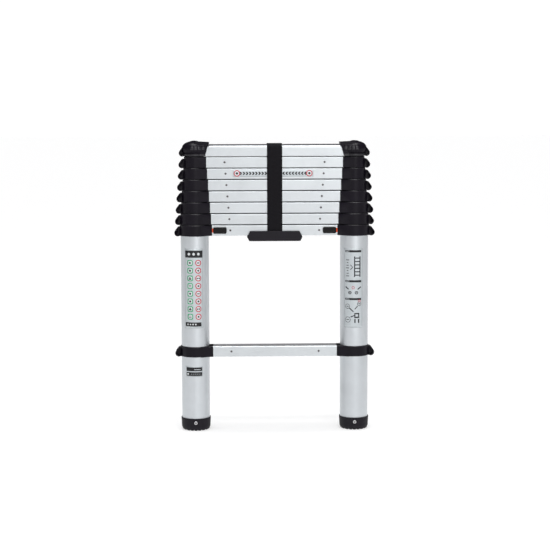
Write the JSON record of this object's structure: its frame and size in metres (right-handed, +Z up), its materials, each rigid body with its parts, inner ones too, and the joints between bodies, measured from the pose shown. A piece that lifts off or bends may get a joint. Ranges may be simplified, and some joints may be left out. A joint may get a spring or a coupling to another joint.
{
  "type": "telescoping ladder",
  "caption": "Straight telescoping ladder, collapsed: nested aluminium tube stiles with stacked hollow rungs, black collars, rubber feet and a carrying strap.",
  "frame": {"origin": "on the floor under the middle of the ladder: midway between the stiles and midway from front to back", "axes": "+X from the left stile to the right stile as seen from the front, -Y towards the front, +Z up along the stiles"},
  "size_m": [0.479, 0.0734, 0.696],
  "materials": {
    "tube_aluminium": "satin anodised",
    "rung_aluminium": "satin anodised",
    "collar_plastic": "moulded, fine grain",
    "foot_rubber": "moulded matt",
    "slider_plastic": "semi-gloss",
    "flag_red": "semi-gloss",
    "webbing": "woven polyester",
    "grip_plastic": "moulded, fine grain",
    "steel": "zinc plated"
  },
  "bodies": {
    "section_1": {"tube_1_left": "tube_aluminium", "tube_1_right": "tube_aluminium", "rung_1": "rung_aluminium", "rung_2": "rung_aluminium", "clamp_collar_left": "collar_plastic", "clamp_collar_right": "collar_plastic", "collar_2_left": "collar_plastic", "collar_2_right": "collar_plastic", "foot_left": "foot_rubber", "foot_right": "foot_rubber", "foot_rivets": "steel", "release_springs": "steel", "release_flags": "flag_red", "strap_grip": "grip_plastic"},
    "section_2": {"tube_2_left": "tube_aluminium", "tube_2_right": "tube_aluminium", "rung_3": "rung_aluminium", "collar_3_left": "collar_plastic", "collar_3_right": "collar_plastic", "latch_pins_3": "steel"},
    "section_3": {"tube_3_left": "tube_aluminium", "tube_3_right": "tube_aluminium", "rung_4": "rung_aluminium", "collar_4_left": "collar_plastic", "collar_4_right": "collar_plastic", "latch_pins_4": "steel"},
    "section_4": {"tube_4_left": "tube_aluminium", "tube_4_right": "tube_aluminium", "rung_5": "rung_aluminium", "collar_5_left": "collar_plastic", "collar_5_right": "collar_plastic", "latch_pins_5": "steel"},
    "section_5": {"tube_5_left": "tube_aluminium", "tube_5_right": "tube_aluminium", "rung_6": "rung_aluminium", "collar_6_left": "collar_plastic", "collar_6_right": "collar_plastic", "latch_pins_6": "steel"},
    "section_6": {"tube_6_left": "tube_aluminium", "tube_6_right": "tube_aluminium", "rung_7": "rung_aluminium", "collar_7_left": "collar_plastic", "collar_7_right": "collar_plastic", "latch_pins_7": "steel"},
    "section_7": {"tube_7_left": "tube_aluminium", "tube_7_right": "tube_aluminium", "rung_8": "rung_aluminium", "collar_8_left": "collar_plastic", "collar_8_right": "collar_plastic", "latch_pins_8": "steel"},
    "section_8": {"tube_8_left": "tube_aluminium", "tube_8_right": "tube_aluminium", "rung_9": "rung_aluminium", "end_cap_left": "collar_plastic", "end_cap_right": "collar_plastic", "carry_strap": "webbing"},
    "release_slider_left": {"release_slider_left": "slider_plastic", "latch_pin_2_left": "steel"},
    "release_slider_right": {"release_slider_right": "slider_plastic", "latch_pin_2_right": "steel"}
  },
  "joints": [
    {"name": "section_2_slide", "type": "slide", "parent": "section_1", "child": "section_2", "axis": [0, 0, 1], "range_m": [0, 0.2645]},
    {"name": "section_3_slide", "type": "slide", "parent": "section_2", "child": "section_3", "axis": [0, 0, 1], "range_m": [0, 0.2645]},
    {"name": "section_4_slide", "type": "slide", "parent": "section_3", "child": "section_4", "axis": [0, 0, 1], "range_m": [0, 0.2645]},
    {"name": "section_5_slide", "type": "slide", "parent": "section_4", "child": "section_5", "axis": [0, 0, 1], "range_m": [0, 0.2645]},
    {"name": "section_6_slide", "type": "slide", "parent": "section_5", "child": "section_6", "axis": [0, 0, 1], "range_m": [0, 0.2645]},
    {"name": "section_7_slide", "type": "slide", "parent": "section_6", "child": "section_7", "axis": [0, 0, 1], "range_m": [0, 0.2645]},
    {"name": "section_8_slide", "type": "slide", "parent": "section_7", "child": "section_8", "axis": [0, 0, 1], "range_m": [0, 0.2645]},
    {"name": "release_left_slide", "type": "slide", "parent": "section_1", "child": "release_slider_left", "axis": [1, 0, 0], "range_m": [0, 0.006], "stiffness_N_per_m": 400, "deforming": ["release_springs"]},
    {"name": "release_right_slide", "type": "slide", "parent": "section_1", "child": "release_slider_right", "axis": [-1, 0, 0], "range_m": [0, 0.006], "stiffness_N_per_m": 400, "deforming": ["release_springs"]}
  ]
}
